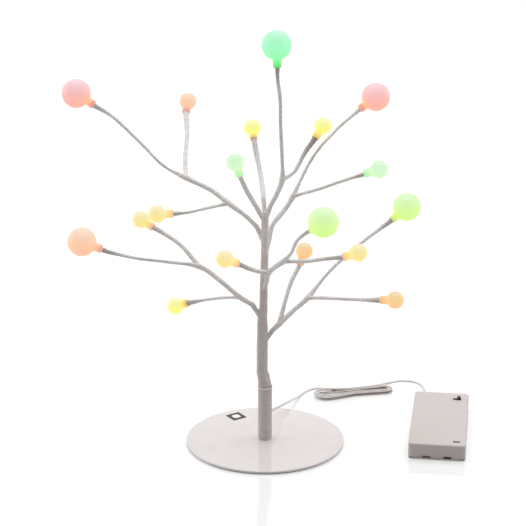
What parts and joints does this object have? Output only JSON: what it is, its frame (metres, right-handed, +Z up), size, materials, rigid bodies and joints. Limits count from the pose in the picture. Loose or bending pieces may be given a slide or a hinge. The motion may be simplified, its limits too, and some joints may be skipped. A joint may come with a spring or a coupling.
{
  "type": "lighted twig tree",
  "caption": "Table-top twig tree lamp with frosted ball lights on bendable taped limbs, a round base plate, and a battery box with a slide switch on a hanked lead.",
  "frame": {"origin": "centre of the underside of the base pad, on the table", "axes": "+Z up along the trunk, -Y towards the viewer of the picture, +X to the right, where the battery box lies"},
  "size_m": [0.3651, 0.2349, 0.3666],
  "materials": {
    "plate_enamel": "satin off-white enamel",
    "foam_pad": "matt closed-cell foam",
    "label_paper": "plain, with a dark border",
    "steel": "zinc-plated",
    "trunk_tape": "waxed crepe tape, taupe",
    "limb_tape": "waxed crepe tape, pale taupe",
    "wire_jacket": "insulated wire",
    "frosted_globe": "frosted and translucent, lit from inside",
    "diode": "clear epoxy, slowly changing colour",
    "lead_jacket": "clear-grey twin cable",
    "box_plastic": "satin moulded plastic",
    "cell_sleeve": "plain sleeve",
    "contact_nickel": "nickel-plated spring steel",
    "board": "circuit board laminate",
    "knob_plastic": "black moulded plastic"
  },
  "bodies": {
    "base": {"base_plate": "plate_enamel", "base_pad": "foam_pad", "base_label": "label_paper", "fixing_screw": "steel", "socket_tube": "steel", "socket_wrap": "trunk_tape", "trunk_wrap": "trunk_tape", "trunk_rod": "steel", "trunk_light_wires": "wire_jacket", "lead_to_hank": "lead_jacket", "lead_hank": "lead_jacket", "lead_to_box": "lead_jacket", "box_case": "box_plastic", "cells": "cell_sleeve", "cell_contacts": "contact_nickel", "switch_board": "board"},
    "limb_1": {"limb_1_wrap": "limb_tape", "limb_1_twig_1_wrap": "limb_tape", "limb_1_twig_2_wrap": "limb_tape", "limb_1_wires": "wire_jacket", "limb_1_globes": "frosted_globe", "limb_1_leds": "diode"},
    "limb_2": {"limb_2_wrap": "limb_tape", "limb_2_twig_1_wrap": "limb_tape", "limb_2_twig_2_wrap": "limb_tape", "limb_2_wires": "wire_jacket", "limb_2_globes": "frosted_globe", "limb_2_leds": "diode"},
    "limb_3": {"limb_3_wrap": "limb_tape", "limb_3_twig_1_wrap": "limb_tape", "limb_3_twig_2_wrap": "limb_tape", "limb_3_wires": "wire_jacket", "limb_3_globes": "frosted_globe", "limb_3_leds": "diode"},
    "limb_4": {"limb_4_wrap": "limb_tape", "limb_4_twig_1_wrap": "limb_tape", "limb_4_wires": "wire_jacket", "limb_4_globes": "frosted_globe", "limb_4_leds": "diode"},
    "limb_5": {"limb_5_wrap": "limb_tape", "limb_5_twig_1_wrap": "limb_tape", "limb_5_twig_2_wrap": "limb_tape", "limb_5_wires": "wire_jacket", "limb_5_globes": "frosted_globe", "limb_5_leds": "diode"},
    "limb_6": {"limb_6_wrap": "limb_tape", "limb_6_wires": "wire_jacket", "limb_6_globes": "frosted_globe", "limb_6_leds": "diode"},
    "limb_7": {"limb_7_wrap": "limb_tape", "limb_7_wires": "wire_jacket", "limb_7_globes": "frosted_globe", "limb_7_leds": "diode"},
    "limb_8": {"limb_8_wrap": "limb_tape", "limb_8_twig_1_wrap": "limb_tape", "limb_8_wires": "wire_jacket", "limb_8_globes": "frosted_globe", "limb_8_leds": "diode"},
    "switch_knob": {"switch_knob": "knob_plastic"},
    "battery_cover": {"battery_cover": "box_plastic"}
  },
  "joints": [
    {"name": "limb_1_bend", "type": "hinge", "parent": "base", "child": "limb_1", "pos_m": [0.00708, 0.00142, 0.10549], "axis": [-0.3256, 0.9455, 0], "range_deg": [-10, 25]},
    {"name": "limb_2_bend", "type": "hinge", "parent": "base", "child": "limb_2", "pos_m": [-0.01133, 0, 0.12956], "axis": [-0.1564, -0.9877, 0], "range_deg": [-5, 25]},
    {"name": "limb_3_bend", "type": "hinge", "parent": "base", "child": "limb_3", "pos_m": [0.00142, -0.00708, 0.15293], "axis": [0.829, 0.5592, 0], "range_deg": [-15, 25]},
    {"name": "limb_4_bend", "type": "hinge", "parent": "base", "child": "limb_4", "pos_m": [0.00389, 0.00779, 0.18904], "axis": [-0.3907, 0.9205, 0], "range_deg": [0, 25]},
    {"name": "limb_5_bend", "type": "hinge", "parent": "base", "child": "limb_5", "pos_m": [-0.00708, 0.00283, 0.19895], "axis": [-0.342, -0.9397, 0], "range_deg": [-15, 15]},
    {"name": "limb_6_bend", "type": "hinge", "parent": "base", "child": "limb_6", "pos_m": [-0.00708, -0.00283, 0.21806], "axis": [0.5878, -0.809, 0], "range_deg": [-10, 25]},
    {"name": "limb_7_bend", "type": "hinge", "parent": "base", "child": "limb_7", "pos_m": [-0.00142, 0.00566, 0.22302], "axis": [-0.9925, -0.1219, 0], "range_deg": [-10, 25]},
    {"name": "limb_8_bend", "type": "hinge", "parent": "base", "child": "limb_8", "pos_m": [0.00496, 0.00212, 0.21877], "axis": [-0.766, -0.6428, 0], "range_deg": [-15, 15]},
    {"name": "switch_slide", "type": "slide", "parent": "base", "child": "switch_knob", "axis": [-0.9907, 0.1357, 0], "range_m": [0, 0.0034]},
    {"name": "cover_slide", "type": "slide", "parent": "base", "child": "battery_cover", "axis": [-0.1357, -0.9907, 0], "range_m": [0, 0.058]}
  ]
}
